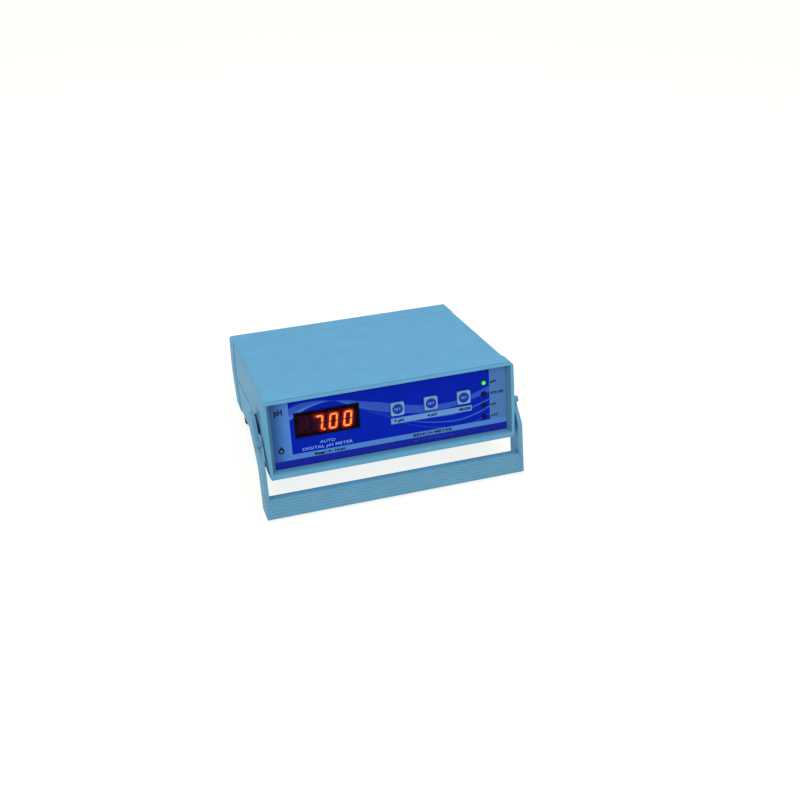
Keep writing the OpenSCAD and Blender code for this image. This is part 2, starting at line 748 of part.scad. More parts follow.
// Rocker at rest with its lower end pressed in
module power_rocker() color([0.15, 0.15, 0.16]) in_case()
    translate(rocker_pivot) rotate([-rocker_angle, 0, 0]) {
        along_x(-rocker_w / 2, rocker_w / 2) polygon(soften(
            [[-4.5, -2.5], [-1.5, -rocker_half], [rocker_out, -rocker_half], [rocker_out - 1.2, 0],
             [rocker_out, rocker_half], [-1.5, rocker_half], [-4.5, 2.5]],
            [1, 0.5, 0.5, 2, 0.5, 0.5, 1], 4));
        rod_x(0, 0, trunnion_r, -switch_body[0] / 2 + 0.7, switch_body[0] / 2 - 0.7);
    }

// ---- Handle ----

// Where a line from an outside point touches the hub; side is 1 for the front, -1 for the rear
function touch(p, side) =
    let (bearing = atan2(-p[1], -p[0]) + side * asin(hub_r / norm(p)))
    side * hub_r * [-sin(bearing), cos(bearing)];

// Rounds one corner of an open run of points
function round_corner(before, p, after, size, steps = 5) =
    let (back = unit(before - p), ahead = unit(after - p))
    [for (i = [0 : steps])
        let (k = i / steps) p + back * size * pow(1 - k, 2) + ahead * size * pow(k, 2)];

// Side outline of an arm in the handle's frame: leg, inclined neck and round hub
function arm_outline() =
    let (heel_point = [arm_rear, heel_rise - handle_drop], toe_point = [arm_front, -handle_drop],
         front_touch = touch(knee_front, 1), rear_touch = touch(knee_rear, -1),
         from = atan2(front_touch[1], front_touch[0]), to = atan2(rear_touch[1], rear_touch[0]))
    concat([heel_point, toe_point],
           round_corner(toe_point, knee_front, front_touch, 3),
           [for (i = [0 : 24]) let (a = from + (to - from) * i / 24) hub_r * [cos(a), sin(a)]],
           round_corner(rear_touch, knee_rear, heel_point, 4));

// The block of space that the grip fills, between the arms' outer plates
function grip_low() = [arm_front, -handle_drop];
function grip_high() = [arm_front + grip_d, -handle_drop + grip_h];

module grip_space(from, to, inset)
    block([from, grip_low()[0] - 1, grip_low()[1] - 1],
          [to, grip_high()[0] + inset, grip_high()[1] + inset]);

// One arm, drawn on the right-hand side: flat plate, spigot into the grip, lug and seat for the cap
module handle_arm(side) color(handle_blue) in_handle() on_side(side) difference() {
    union() {
        difference() {
            along_x(arm_in, arm_out) polygon(arm_outline());
            grip_space(0, arm_split, 0);
        }
        block([arm_split - spigot_l, grip_low()[0] + grip_wall + grip_gap, grip_low()[1] + grip_wall + grip_gap],
              [arm_split, grip_high()[0] - grip_wall - grip_gap, grip_high()[1] - grip_wall - grip_gap]);
        rod_x(lug_pos[0], lug_pos[1], lug_r, lug_x[0], lug_x[1]);
    }
    rod_x(0, 0, pin_r + pin_clear, 0, case_w);
    rod_x(0, 0, cap_r + cap_gap, arm_out - cap_t - cap_gap, case_w);
}
module handle_arm_left() handle_arm(-1);
module handle_arm_right() handle_arm(1);

// Front edge of the grip's section: a row of shallow rounded ribs
function rib_edge() = let (pitch = (grip_h - 3) / rib_count, steps = 8)
    [for (i = [0 : rib_count * steps])
        [grip_low()[0] + rib_depth * (1 - abs(sin(180 * i / steps))), grip_low()[1] + 1 + pitch * i / steps]];

module handle_grip() color(handle_blue) in_handle() along_x(-arm_split, arm_split) difference() {
    polygon(concat(
        [grip_low()], rib_edge(),
        [[grip_low()[0], grip_high()[1] - 1.2], [grip_low()[0] + 0.4, grip_high()[1] - 0.4],
         [grip_low()[0] + 1.4, grip_high()[1]], grip_high(), [grip_high()[0], grip_low()[1]]]));
    translate(grip_low() + [grip_wall, grip_wall])
        square([grip_d - 2 * grip_wall, grip_h - 2 * grip_wall]);
}

// Shouldered pin clamped between the shells, with its flange inside the case
module pivot_pin(side) color(steel) in_case() on_side(side) {
    rod_x(pivot_y, pivot_z, pin_r, pivot_pad_in, arm_out - cap_t);
    rod_x(pivot_y, pivot_z, pin_r + 3, pivot_pad_in - pin_flange_t, pivot_pad_in);
}
module pivot_pin_left() pivot_pin(-1);
module pivot_pin_right() pivot_pin(1);

// Spacer washer between the shell's pad and the hub
module pivot_washer(side) color(black) in_case() on_side(side) difference() {
    rod_x(pivot_y, pivot_z, washer_r, pivot_boss_x, arm_in - cap_gap);
    rod_x(pivot_y, pivot_z, pin_r, 0, case_w);
}
module pivot_washer_left() pivot_washer(-1);
module pivot_washer_right() pivot_washer(1);

// Cap on the pin's outer end, sunk flush into the hub, which it keeps in place
module pivot_cap(side) color(handle_blue) in_case() on_side(side)
    rod_x(pivot_y, pivot_z, cap_r, arm_out - cap_t, arm_out);
module pivot_cap_left() pivot_cap(-1);
module pivot_cap_right() pivot_cap(1);

top_shell();
bottom_shell();
front_panel();
panel_overlay();
display_frame();
display_filter();
digit_1();
digit_2();
digit_3();
digit_4();
key_cap_seven();
key_cap_four();
key_cap_mode();
key_switch_seven();
key_switch_four();
key_switch_mode();
led_ph();
led_standby();
led_mv();
led_atc();
front_board();
front_standoffs();
front_board_screws();
main_board();
board_standoffs();
board_screws();
transformer_core();
transformer_coil();
transformer_bolts();
regulator();
heatsink();
filter_capacitors();
controller_chip();
shield_can();
ribbon_cable();
mains_wires();
electrode_lead();
rear_panel();
bnc_connector();
bnc_nut();
temperature_socket();
socket_nut();
mains_inlet();
fuse_holder();
fuse_cap();
switch_housing();
power_rocker();
handle_arm_left();
handle_arm_right();
handle_grip();
pivot_pin_left();
pivot_pin_right();
pivot_washer_left();
pivot_washer_right();
pivot_cap_left();
pivot_cap_right();
front_feet();
rear_feet();
case_screws();
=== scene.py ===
import json
import math
import bmesh
import bpy
from mathutils import Matrix, Vector


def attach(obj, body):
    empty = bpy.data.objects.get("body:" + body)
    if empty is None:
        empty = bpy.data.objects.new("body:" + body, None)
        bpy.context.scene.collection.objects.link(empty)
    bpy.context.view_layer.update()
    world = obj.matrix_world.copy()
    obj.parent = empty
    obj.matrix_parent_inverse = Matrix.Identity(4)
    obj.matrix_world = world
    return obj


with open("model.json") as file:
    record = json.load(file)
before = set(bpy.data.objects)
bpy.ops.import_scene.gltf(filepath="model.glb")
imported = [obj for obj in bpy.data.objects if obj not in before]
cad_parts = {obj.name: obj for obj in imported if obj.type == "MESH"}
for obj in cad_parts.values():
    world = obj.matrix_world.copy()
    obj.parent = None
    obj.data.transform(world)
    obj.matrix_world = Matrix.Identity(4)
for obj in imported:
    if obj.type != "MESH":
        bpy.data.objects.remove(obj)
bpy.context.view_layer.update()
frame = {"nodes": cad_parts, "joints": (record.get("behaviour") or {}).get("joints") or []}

# ---- The case's own frame: millimetres, X right, Y to the rear, Z up, tilted nose-up on its stand ----

MM = 0.001
PIVOT_MM = Vector((0.0, 35.8, 39.6))     # handle pivot in the case's frame
joint = {j["name"]: j for j in frame["joints"]}
key_travel = Vector(joint["key_four_press"]["axis"])
TILT = math.atan2(-key_travel.z, key_travel.y)
TURN = Matrix.Rotation(-TILT, 4, "X")
CASE = (Matrix.Translation(Vector(joint["handle_swing"]["pos_m"]) - TURN @ (PIVOT_MM * MM))
        @ TURN @ Matrix.Scale(MM, 4))

# ---- Layout of the front panel, in the case's frame ----

FILM_Y = 4.6                 # face of the printed film
FILM_X = 105.15              # half its width
PRINT_T = 0.04               # thickness of a layer of print
RECESS_X = 108.4             # half the front recess's width at the bezel's face
RECESS_Z = (5.0, 69.3)       # the recess's lower and upper edges
FIELD_X = (-89.4, 89.5)      # sides of the dark blue field
FIELD_Z = (19.7, 67.6)       # its lower and upper edges
STRIPE_Z = (8.05, 14.9)      # the dark stripe along the bottom
LABEL_X = (-1.3, 72.7)       # the pale strip under the keys
LABEL_Z = (31.4, 36.7)
COLUMN_TEXT_X = 90.4         # where the lamps' labels start

KEY_WORDS = ("seven", "four", "mode")
KEY_X = (4.8, 35.0, 65.2)
KEY_Z = 45.6
KEY_FACE_Y = 3.0
KEY_DISC_R = 4.75
LED_X = 84.1
LED_Z = (55.8, 45.0, 34.2, 23.4)

DIGIT_X = (-76.6, -63.9, -51.2, -38.5)
DIGIT_Z = 43.2
DIGIT_FACE_Y = 7.6
DIGIT_H = 14.2
DIGIT_W = 7.3
FACE_HALF = (6.25, 9.4)      # half the width and height of a digit's glowing face
FACE_GRID = (50, 76)         # its squares across and up
SEGMENT_T = 1.55
SEGMENT_GAP = 0.22
POINT_R = 0.85
BAR_BACK = 0.04              # how far the bars' backs stand in front of the digit's face
BAR_LIT = 0.16               # how far the lit bars' fronts do
BAR_OFF = 0.09
SLANT = math.tan(math.radians(8))

SEGMENTS = {"0": "abcdef", "7": "abc"}
READING = (" ", "7.", "0", "0")

# ---- Helpers for numbers and colours ----


def srgb(r, g, b):
    """A colour given in 0-255 screen values, as linear RGBA."""
    def line(c):
        c /= 255
        return c / 12.92 if c <= 0.04045 else ((c + 0.055) / 1.055) ** 2.4
    return (line(r), line(g), line(b), 1.0)


GRAIN_DEPTH = 0.0001         # metres
SHELL = srgb(101, 166, 205)
# darker, greener blue used as painted shade in and above the front recess
SHELL_PAINTED_SHADE = srgb(78, 130, 162)
GRIP = srgb(104, 160, 192)

# ---- Node helpers ----

class Graph:
    """A material's node tree with short calls for the nodes used here."""

    def __init__(self, name):
        self.material = bpy.data.materials.new(name)
        self.material.use_nodes = True
        self.nodes = self.material.node_tree.nodes
        self.links = self.material.node_tree.links
        self.bsdf = self.nodes["Principled BSDF"]

    def add(self, kind, **settings):
        node = self.nodes.new(kind)
        for key, value in settings.items():
            setattr(node, key, value)
        return node

    def feed(self, socket, value):
        if isinstance(value, bpy.types.NodeSocket):
            self.links.new(value, socket)
        else:
            socket.default_value = value

    def math(self, operation, *values):
        node = self.add("ShaderNodeMath", operation=operation)
        for socket, value in zip(node.inputs, values):
            self.feed(socket, value)
        return node.outputs[0]

    def smooth(self, value, low, high):
        """0 below low, 1 above high, smooth between."""
        node = self.add("ShaderNodeMapRange", interpolation_type="SMOOTHSTEP")
        self.feed(node.inputs["Value"], value)
        self.feed(node.inputs["From Min"], low)
        self.feed(node.inputs["From Max"], high)
        return node.outputs["Result"]

    def mix(self, factor, one, two):
        node = self.add("ShaderNodeMix", data_type="RGBA")
        self.feed(node.inputs["Factor"], factor)
        self.feed(node.inputs[6], one)
        self.feed(node.inputs[7], two)
        return node.outputs[2]

    def place(self):
        return self.add("ShaderNodeTexCoord").outputs["Object"]

    def noise(self, scale, detail=2.0, stretch=None):
        node = self.add("ShaderNodeTexNoise")
        node.inputs["Scale"].default_value = scale
        node.inputs["Detail"].default_value = detail
        source = self.place()
        if stretch:
            mapping = self.add("ShaderNodeMapping")
            mapping.inputs["Scale"].default_value = stretch
            self.links.new(source, mapping.inputs["Vector"])
            source = mapping.outputs["Vector"]
        self.links.new(source, node.inputs["Vector"])
        return node.outputs["Fac"]

    def bump(self, height, strength):
        node = self.add("ShaderNodeBump")
        node.inputs["Strength"].default_value = strength
        node.inputs["Distance"].default_value = GRAIN_DEPTH
        self.links.new(height, node.inputs["Height"])
        self.links.new(node.outputs["Normal"], self.bsdf.inputs["Normal"])

    def set(self, **sockets):
        for key, value in sockets.items():
            self.feed(self.bsdf.inputs[key.replace("_", " ")], value)

    def rough(self, texture, spread, low):
        """Roughness of low, rising by up to spread with a texture."""
        self.feed(self.bsdf.inputs["Roughness"], self.math("MULTIPLY_ADD", texture, spread, low))


def mottled(graph, colour, spread, scale):
    """The colour with soft patches a little darker and lighter."""
    dark = tuple(c * (1 - spread) for c in colour[:3]) + (1.0,)
    light = tuple(min(1.0, c * (1 + spread)) for c in colour[:3]) + (1.0,)
    return graph.mix(graph.smooth(graph.noise(scale, 3.0), 0.3, 0.7), dark, light)


def case_axes(g):
    """The case's own X, Y and Z in millimetres, for materials that vary across it."""
    back = g.add("ShaderNodeMapping")
    back.inputs["Location"].default_value = CASE.inverted().to_translation()
    back.inputs["Rotation"].default_value = (TILT, 0, 0)
    back.inputs["Scale"].default_value = (1 / MM, 1 / MM, 1 / MM)
    g.links.new(g.place(), back.inputs["Vector"])
    split = g.add("ShaderNodeSeparateXYZ")
    g.links.new(back.outputs["Vector"], split.inputs[0])
    return split.outputs["X"], split.outputs["Y"], split.outputs["Z"]


# ---- Kinds of material ----

def moulded(name, colour, rough=0.5, grain=0.25, spread=0.03, grain_scale=2600, shine=0.25):
    """Moulded plastic with a spark-eroded grain."""
    g = Graph(name)
    g.set(Base_Color=mottled(g, colour, spread, 60), Specular_IOR_Level=shine)
    g.rough(g.noise(220, 4.0), 0.12, rough - 0.06)
    g.bump(g.noise(grain_scale), grain)
    return g.material


def metal(name, colour, rough):
    """Plated or brushed metal with fine lines."""
    g = Graph(name)
    lines = g.noise(300, 3.0, stretch=(1, 40, 40))
    g.set(Base_Color=mottled(g, colour, 0.05, 120), Metallic=1.0)
    g.rough(lines, 0.2, rough - 0.1)
    g.bump(lines, 0.15)
    return g.material


def printed(name, colour, spread=0.02, rough=0.45):
    """A layer of screen-printed ink."""
    g = Graph(name)
    g.set(Base_Color=mottled(g, colour, spread, 90), Specular_IOR_Level=0.12)
    g.rough(g.noise(400), 0.1, rough - 0.05)
    return g.material


# ---- Materials of their own ----

def shell_material():
    """The shells' plastic, with painted shade darkening the front recess's side slopes and the rounded edge
    above the recess.
    """
    g = Graph("shell_plastic")
    x, y, z = case_axes(g)
    low, high = RECESS_Z
    across = g.smooth(g.math("ABSOLUTE", x), RECESS_X + 0.3, RECESS_X - 0.1)
    recess_shade = g.math("MULTIPLY", g.smooth(y, 0.0, 0.4), g.smooth(y, FILM_Y + 1, FILM_Y + 0.5))
    beside = g.math("MULTIPLY", g.smooth(z, low - 0.5, low + 2.5), g.smooth(z, high + 1, high))
    edge = g.math("MULTIPLY", g.smooth(y, 0.3, 1.0), g.smooth(y, 2.3, 1.5))
    above = g.math("MULTIPLY", edge, g.smooth(z, high + 0.5, high + 1.5))
    either = g.math("MAXIMUM", g.math("MULTIPLY", recess_shade, beside), above)
    # painted shade: the recess slopes and the edge above the recess are mixed towards the darker blue
    colour = g.mix(g.math("MULTIPLY", across, either), mottled(g, SHELL, 0.03, 60), SHELL_PAINTED_SHADE)
    g.set(Base_Color=colour, Specular_IOR_Level=0.08)
    g.rough(g.noise(220, 4.0), 0.12, 0.42)
    g.bump(g.noise(2600), 0.3)
    return g.material


def light_print_material():
    """Pale blue print, with painted shadow darkening it towards the film's left edge, where the recess wall
    shades it.
    """
    g = Graph("print_light_blue")
    x = case_axes(g)[0]
    # painted shadow: the recess wall's shade on the print's left edge, fading out to the right
    recess_shade = mottled(g, srgb(40, 86, 148), 0.02, 90)
    pale = mottled(g, srgb(76, 131, 208), 0.02, 90)
    colour = g.mix(g.smooth(x, -FILM_X, FIELD_X[0] - 1.0), recess_shade, pale)
    g.set(Base_Color=colour, Specular_IOR_Level=0.12)
    g.rough(g.noise(400), 0.1, 0.4)
    return g.material


def lit_segment_material():
    """The digits' lit bars."""
    g = Graph("segment_lit")
    g.set(Base_Color=mottled(g, srgb(120, 40, 8), 0.05, 200), Roughness=0.3,
          Emission_Color=srgb(255, 176, 54), Emission_Strength=1.35)
    return g.material


# ---- Wave pattern on the film ----

CURVE_HALF = 110             # the curves run from -CURVE_HALF to CURVE_HALF across the panel
CURVE_TOP = 80               # and hold heights from 0 to this
WAVE_TOP = [(-110, 52), (-89, 62.3), (-80, 65.2), (-71, 65.6), (-60, 64.7), (-52, 62.8), (-40, 61.4),
            (-26, 58), (-10, 54.3), (6, 49.7), (28, 44.6), (46, 43), (60, 43.8), (72, 46.8),
            (89.5, 52.2), (110, 59)]
WAVE_BRIGHT = [(-110, 42), (-89, 51.5), (-78, 57.6), (-66, 61.6), (-52, 62.7), (-40, 58.2), (-27, 51.5),
               (-9, 45), (13, 39.6), (28, 37.6), (42, 37.2), (59, 38.6), (75, 42.6), (89.5, 46.5),
               (110, 52)]
WAVE_LOW = [(-110, 42), (-89, 50.5), (-78, 57.2), (-66, 61.4), (-52, 62.6), (-40, 57.2), (-27, 50.2),
            (-9, 40.6), (10, 30.8), (27, 24.2), (42, 20.2), (60, 17.5), (75, 19.6), (89.5, 25.5),
            (110, 35)]


def curve_node(g, x, points):
    """Height in mm of a curve through (x, z) points, for a panel coordinate x in mm."""
    node = g.add("ShaderNodeFloatCurve")
    curve = node.mapping.curves[0]
    spots = [((px + CURVE_HALF) / (2 * CURVE_HALF), pz / CURVE_TOP) for px, pz in points]
    while len(curve.points) < len(spots):
        curve.points.new(0.5, 0.5)
    for point, spot in zip(curve.points, spots):
        point.location = spot
        point.handle_type = "AUTO"
    node.mapping.update()
    g.feed(node.inputs["Value"], g.math("MULTIPLY_ADD", x, 1 / (2 * CURVE_HALF), 0.5))
    return g.math("MULTIPLY", node.outputs["Value"], CURVE_TOP)


def film_material():
    """Deep blue film with a pale band across it, and a fan of thin lines below the band."""
    g = Graph("printed_film_blue")
    x, _, z = case_axes(g)
    top = curve_node(g, x, WAVE_TOP)
    bright = curve_node(g, x, WAVE_BRIGHT)
    low = curve_node(g, x, WAVE_LOW)

    def share(upper, lower):
        """How far up z is between two curves, from 0 to 1."""
        span = g.math("MAXIMUM", g.math("SUBTRACT", upper, lower), 0.2)
        return g.math("DIVIDE", g.math("SUBTRACT", z, lower), span)

    def window(t):
        inside = g.math("MULTIPLY", g.smooth(t, -0.02, 0.04), g.smooth(t, 1.02, 0.9))
        return g.math("MAXIMUM", inside, 0.0)

    def ripple(kind, t, rate, sharp):
        """Thin lines where a wave of t peaks."""
        wave = g.math("ABSOLUTE", g.math(kind, g.math("MULTIPLY", t, rate)))
        return g.math("POWER", wave, sharp)

    band_t = share(top, bright)
    band = window(band_t)
    glow = g.math("MULTIPLY", band, g.math("MULTIPLY_ADD", ripple("SINE", band_t, 22.0, 4.0), 0.22, 0.2))
    fan_t = share(bright, low)
    fan = g.math("MULTIPLY", ripple("COSINE", fan_t, 9.425, 26.0), 0.42)
    lines = g.math("MULTIPLY", window(fan_t), fan)
    # The band is brightest along its lower edge, at the left
    lower = g.math("MULTIPLY", band, g.smooth(band_t, 0.55, 0.0))
    streak = g.math("MULTIPLY", lower, g.math("MULTIPLY", g.smooth(x, -10, -60), 0.45))
    inside = g.math("MULTIPLY", g.smooth(x, FIELD_X[0] - 0.2, FIELD_X[0]),
                    g.smooth(x, FIELD_X[1] + 0.2, FIELD_X[1]))
    amount = g.math("MULTIPLY", g.math("ADD", g.math("ADD", glow, lines), streak), inside)
    base = mottled(g, srgb(2, 33, 176), 0.04, 40)
    colour = g.mix(g.math("MINIMUM", amount, 1.0), base, srgb(92, 146, 226))
    g.set(Base_Color=colour, Specular_IOR_Level=0.03)
    g.rough(g.noise(500), 0.1, 0.4)
    return g.material


# ---- Lamps and display ----

def lamp_material():
    """Lit green lamp: bright at its middle, fading to a dark rim."""
    g = Graph("led_green_lit")
    away = g.add("ShaderNodeVectorMath", operation="DISTANCE")
    g.links.new(g.place(), away.inputs[0])
    away.inputs[1].default_value = CASE @ Vector((LED_X, FILM_Y - 1.5, LED_Z[0]))
    core = g.smooth(away.outputs["Value"], 2.7 * MM, 1.5 * MM)
    hot = g.smooth(away.outputs["Value"], 1.9 * MM, 0.4 * MM)
    g.set(Base_Color=g.mix(core, srgb(4, 34, 60), srgb(40, 150, 40)), Roughness=0.35,
          Specular_IOR_Level=0.2, Emission_Color=g.mix(hot, srgb(40, 190, 50), srgb(140, 250, 90)))
    g.feed(g.bsdf.inputs["Emission Strength"], g.math("MULTIPLY", core, 0.85))
    return g.material


def dark_lamp_material():
    g = Graph("led_dark")
    g.set(Base_Color=mottled(g, srgb(5, 20, 72), 0.25, 700), Roughness=0.5, Specular_IOR_Level=0.08)
    return g.material


def filter_material():
    """Clear dark red plastic, thin enough to see the digits through."""
    g = Graph("display_filter_red")
    clear = g.add("ShaderNodeBsdfTransparent")
    g.feed(clear.inputs["Color"], mottled(g, (0.95, 0.82, 0.82, 1), 0.03, 60))
    gloss = g.add("ShaderNodeBsdfGlossy")
    gloss.inputs["Roughness"].default_value = 0.15
    edge = g.add("ShaderNodeLayerWeight")
    edge.inputs["Blend"].default_value = 0.1
    blend = g.add("ShaderNodeMixShader")
    g.feed(blend.inputs[0], g.math("MULTIPLY", edge.outputs["Facing"], 0.1))
    g.feed(blend.inputs[1], clear.outputs[0])
    g.feed(blend.inputs[2], gloss.outputs[0])
    g.feed(g.nodes["Material Output"].inputs["Surface"], blend.outputs[0])
    g.nodes.remove(g.bsdf)
    return g.material


def glow_material():
    """The digit's face: its colour attribute holds the light spilled round the lit segments."""
    g = Graph("digit_glow")
    seen = g.add("ShaderNodeVertexColor", layer_name="glow")
    g.set(Base_Color=mottled(g, srgb(34, 3, 40), 0.1, 150), Roughness=0.6, Specular_IOR_Level=0.05,
          Emission_Color=seen.outputs["Color"], Emission_Strength=1.0)
    return g.material


# ---- All the materials, and the CAD nodes that wear them ----

mat = {
    "shell": shell_material(),
    "handle": moulded("handle_plastic", GRIP, 0.5, 0.3, shine=0.08),
    "film": film_material(),
    "light_print": light_print_material(),
    "right_print": printed("print_right_column", srgb(72, 122, 180)),
    "stripe_print": printed("print_dark_stripe", srgb(1, 27, 158)),
    "label_print": printed("print_label_strip", srgb(100, 150, 212)),
    "pale_ink": printed("print_pale_ink", srgb(128, 172, 232)),
    "dim_ink": printed("print_dim_ink", srgb(30, 70, 176)),
    "dark_ink": printed("print_dark_ink", srgb(8, 16, 44)),
    "white_ink": printed("print_white_ink", srgb(222, 226, 230)),
    "key": moulded("key_plastic", srgb(112, 160, 204), 0.5, 0.2, 0.12),
    "key_disc": printed("print_key_disc", srgb(14, 48, 168)),
    "panel_back": metal("panel_metal", (0.5, 0.52, 0.55, 1), 0.45),
    "frame": moulded("display_bezel_plastic", srgb(8, 4, 34), 0.5, 0.1, shine=0.05),
    "filter": filter_material(),
    "digit": moulded("digit_body_plastic", srgb(34, 3, 40), 0.6, 0.1, shine=0.05),
    "glow": glow_material(),
    "segment_off": printed("segment_off", srgb(46, 3, 42), 0.05, 0.5),
    "segment_lit": lit_segment_material(),
    "led_lit": lamp_material(),
    "led_dark": dark_lamp_material(),
    "black": moulded("black_plastic", srgb(26, 27, 30), 0.5, 0.3),
    "socket_black": moulded("socket_plastic", srgb(18, 18, 20), 0.4, 0.2),
    "board": moulded("board_laminate", srgb(20, 92, 58), 0.4, 0.1, 0.12, 900),
    "steel": metal("zinc_steel", (0.62, 0.63, 0.66, 1), 0.35),
    "core": moulded("core_laminations", srgb(70, 66, 62), 0.55, 0.4, 0.15),
    "coil": moulded("coil_tape", srgb(205, 168, 70), 0.35, 0.1),
    "sink": metal("sink_aluminium", (0.6, 0.61, 0.63, 1), 0.4),
    "capacitor": moulded("capacitor_sleeve", srgb(24, 30, 70), 0.3, 0.05),
    "cable": moulded("cable_insulation", srgb(120, 122, 128), 0.45, 0.1),
    "rear": moulded("rear_panel_plastic", srgb(46, 50, 56), 0.5, 0.35),
    "nickel": metal("nickel_plate", (0.72, 0.70, 0.66, 1), 0.22),
    "rubber": moulded("foot_rubber", srgb(12, 34, 74), 0.8, 0.6, 0.1, 1500),
    # the washers' dark blue is partly their own colour and partly painted shade, darkening the gap between
    # hub and case side
    "washer": moulded("washer_plastic", srgb(30, 60, 96), 0.5, 0.2),
}

NODE_MATERIALS = {
    "shell": ("top_shell", "bottom_shell"),
    "handle": ("handle_arm_left", "handle_arm_right", "handle_grip", "pivot_cap_left", "pivot_cap_right"),
    "film": ("panel_overlay",),
    "panel_back": ("front_panel",),
    "frame": ("display_frame",),
    "filter": ("display_filter",),
    "digit": ("digit_1", "digit_2", "digit_3", "digit_4"),
    "key": ("key_cap_seven", "key_cap_four", "key_cap_mode"),
    "black": ("key_switch_seven", "key_switch_four", "key_switch_mode", "controller_chip", "regulator"),
    "socket_black": ("temperature_socket", "mains_inlet", "fuse_holder", "fuse_cap", "switch_housing",
                     "power_rocker"),
    "led_lit": ("led_ph",),
    "led_dark": ("led_standby", "led_mv", "led_atc"),
    "board": ("front_board", "main_board"),
    "steel": ("front_standoffs", "front_board_screws", "board_standoffs", "board_screws",
              "transformer_bolts", "case_screws", "shield_can", "pivot_pin_left", "pivot_pin_right"),
    "core": ("transformer_core",),
    "coil": ("transformer_coil",),
    "sink": ("heatsink",),
    "capacitor": ("filter_capacitors",),
    "cable": ("ribbon_cable", "mains_wires", "electrode_lead"),
    "rear": ("rear_panel",),
    "nickel": ("bnc_connector", "bnc_nut", "socket_nut"),
    "rubber": ("front_feet", "rear_feet"),
    "washer": ("pivot_washer_left", "pivot_washer_right"),
}

ROUNDED = {                  # how far edges are rounded, in metres
    0.0012: ("handle_arm_left", "handle_arm_right"),
    0.0007: ("handle_grip",),
    0.0004: ("key_cap_seven", "key_cap_four", "key_cap_mode", "mains_inlet", "power_rocker",
             "switch_housing"),
}


def dress_nodes():
    for key, names in NODE_MATERIALS.items():
        for name in names:
            mesh = frame["nodes"][name].data
            mesh.materials.clear()
            mesh.materials.append(mat[key])


def soften_edges(name, width):
    """Rounds a CAD node's sharp edges with modifiers, leaving its mesh alone."""
    node = frame["nodes"][name]
    weld = node.modifiers.new("weld", "WELD")
    weld.merge_threshold = 1e-6
    bevel = node.modifiers.new("bevel", "BEVEL")
    bevel.width = width
    bevel.segments = 3
    bevel.limit_method = "ANGLE"
    bevel.angle_limit = math.radians(35)
    bevel.harden_normals = True


def round_off():
    for width, names in ROUNDED.items():
        for name in names:
            soften_edges(name, width)


# ---- Mesh helpers ----

def finish_piece(name, mesh, body, material):
    piece = bpy.data.objects.new(name, mesh)
    bpy.context.scene.collection.objects.link(piece)
    mesh.materials.append(mat[material])
    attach(piece, body)


def plate(name, outline, front, back, body, material):
    """A flat piece with an outline in X and Z, between two Y planes of the case."""
    bm = bmesh.new()
    near = [bm.verts.new((x, front, z)) for x, z in outline]
    far = [bm.verts.new((x, back, z)) for x, z in outline]
    bm.faces.new(near)
    bm.faces.new(far[::-1])
    for i in range(len(outline)):
        j = (i + 1) % len(outline)
        bm.faces.new((near[j], near[i], far[i], far[j]))
    bmesh.ops.recalc_face_normals(bm, faces=bm.faces)
    mesh = bpy.data.meshes.new(name)
    bm.to_mesh(mesh)
    bm.free()
    mesh.transform(CASE)
    finish_piece(name, mesh, body, material)


def box_outline(x, z):
    return [(x[0], z[0]), (x[1], z[0]), (x[1], z[1]), (x[0], z[1])]


def circle_outline(x, z, radius, steps=48):
    return [(x + radius * math.cos(2 * math.pi * i / steps), z + radius * math.sin(2 * math.pi * i / steps))
            for i in range(steps)]


def drop_outline(x, z, radius, height, steps=30):
    """A water drop: a circle drawn up to a point."""
    reach = height - radius
    half = math.acos(radius / reach)
    start, turn = math.pi / 2 + half, 2 * math.pi - 2 * half
    arc = [start + turn * i / steps for i in range(steps + 1)]
    return [(x, z + reach)] + [(x + radius * math.cos(a), z + radius * math.sin(a)) for a in arc]


CAP_HEIGHT = 0.73            # height of the font's capitals, as a share of its size
UPRIGHT = Matrix.Rotation(math.radians(90), 4, "X")


def turned(x, y, z):
    """A frame in metres, turned with the case, at a point given in its millimetres."""
    return Matrix.Translation(CASE @ Vector((x, y, z))) @ TURN


def lettering(name, words, place, size, body, material, bold=0.0, centred=False, rear=False):
    """Raised text at (x, y, z), of the given width and height of capitals, facing front or rear."""
    (x, y, z), (width, height) = place, size
    data = bpy.data.curves.new(name, "FONT")
    data.body = words
    data.size = height * MM / CAP_HEIGHT
    data.offset = bold * MM
    data.extrude = PRINT_T * MM / 2
    data.resolution_u = 4
    piece = bpy.data.objects.new(name, data)
    bpy.context.scene.collection.objects.link(piece)
    bpy.context.view_layer.update()
    stretch = Matrix.Scale(width * MM / piece.dimensions.x, 4, (1, 0, 0))
    low = min(corner[0] for corner in piece.bound_box)
    turn = Matrix.Rotation(math.pi, 4, "Z") @ UPRIGHT if rear else UPRIGHT
    start = -width / 2 * (-1 if rear else 1) if centred else 0.0
    piece.matrix_world = turned(x + start, y, z) @ turn @ stretch @ Matrix.Translation((-low, 0, 0))
    data.materials.append(mat[material])
    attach(piece, body)


# ---- Printed film ----

